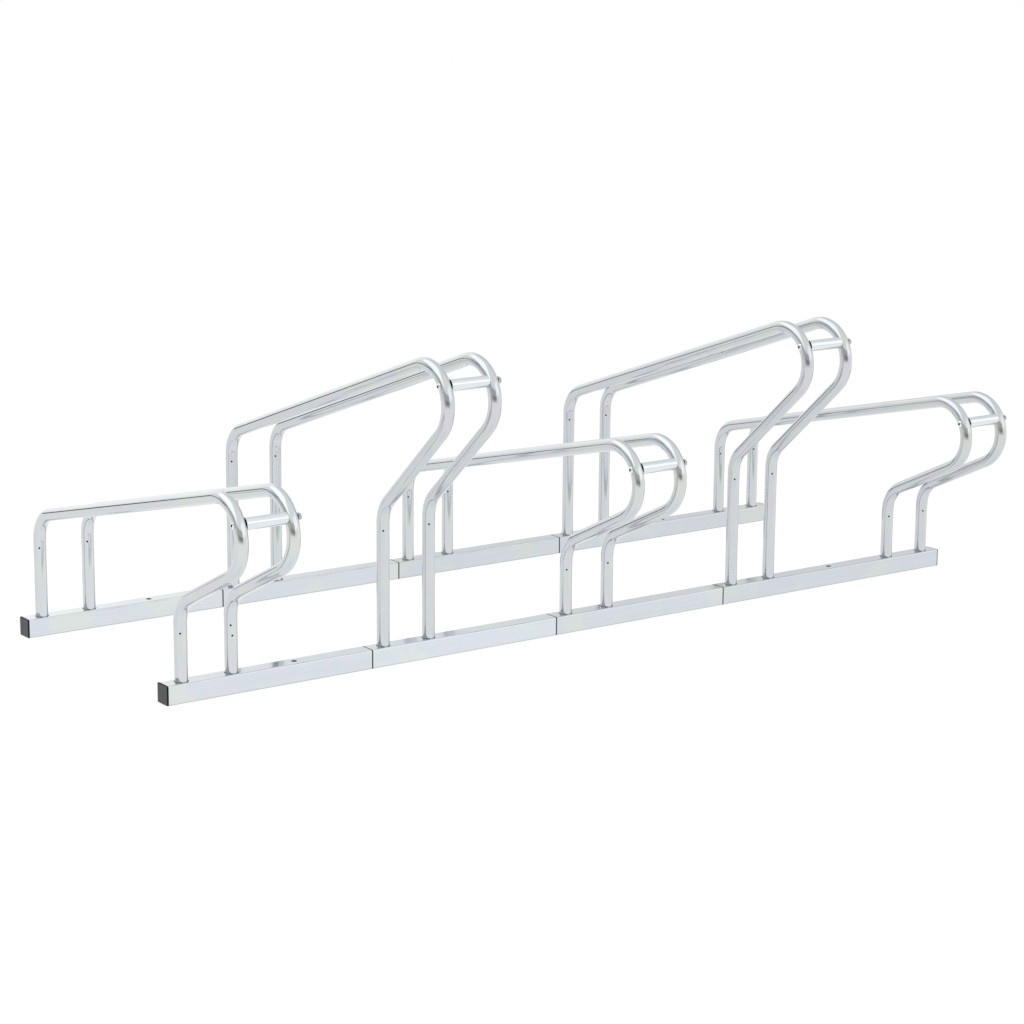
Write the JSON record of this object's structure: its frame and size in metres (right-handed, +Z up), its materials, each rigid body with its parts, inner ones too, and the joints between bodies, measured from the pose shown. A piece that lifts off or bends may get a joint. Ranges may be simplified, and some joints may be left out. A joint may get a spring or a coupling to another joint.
{
  "type": "floor bike rack",
  "caption": "Floor rack that holds bicycles by a wheel, between pairs of bent tube hoops, low and high in turn, on two square tube rails.",
  "frame": {"origin": "on the floor, at the centre of the bounding box's underside", "axes": "+X along the rails to the right, seen from the side of the noses; +Y back from the noses to the side where wheels roll in; +Z up"},
  "size_m": [1.558, 0.66, 0.49],
  "materials": {
    "rail_zinc": "bright zinc plated square steel tube",
    "hoop_zinc": "bright zinc plated round steel tube",
    "spacer_zinc": "bright zinc plated round steel tube",
    "fastener_zinc": "zinc plated steel screws, bolts and nuts",
    "joiner_steel": "zinc plated square steel tube inside the rails",
    "cap_plastic": "moulded black plastic"
  },
  "bodies": {
    "root": {"front_rail_1": "rail_zinc", "front_rail_2": "rail_zinc", "front_rail_3": "rail_zinc", "front_rail_4": "rail_zinc", "rear_rail_1": "rail_zinc", "rear_rail_2": "rail_zinc", "rear_rail_3": "rail_zinc", "rear_rail_4": "rail_zinc", "front_joiner_1": "joiner_steel", "front_joiner_2": "joiner_steel", "front_joiner_3": "joiner_steel", "rear_joiner_1": "joiner_steel", "rear_joiner_2": "joiner_steel", "rear_joiner_3": "joiner_steel", "front_left_cap": "cap_plastic", "front_right_cap": "cap_plastic", "rear_left_cap": "cap_plastic", "rear_right_cap": "cap_plastic", "left_hoop_1": "hoop_zinc", "right_hoop_1": "hoop_zinc", "left_hoop_2": "hoop_zinc", "right_hoop_2": "hoop_zinc", "left_hoop_3": "hoop_zinc", "right_hoop_3": "hoop_zinc", "left_hoop_4": "hoop_zinc", "right_hoop_4": "hoop_zinc", "left_hoop_5": "hoop_zinc", "right_hoop_5": "hoop_zinc", "spacer_1": "spacer_zinc", "spacer_2": "spacer_zinc", "spacer_3": "spacer_zinc", "spacer_4": "spacer_zinc", "spacer_5": "spacer_zinc", "spacer_bolt_1": "fastener_zinc", "spacer_bolt_2": "fastener_zinc", "spacer_bolt_3": "fastener_zinc", "spacer_bolt_4": "fastener_zinc", "spacer_bolt_5": "fastener_zinc", "lock_nut_1": "fastener_zinc", "lock_nut_2": "fastener_zinc", "lock_nut_3": "fastener_zinc", "lock_nut_4": "fastener_zinc", "lock_nut_5": "fastener_zinc", "leg_plugs": "joiner_steel", "leg_screws": "fastener_zinc"}
  },
  "joints": []
}
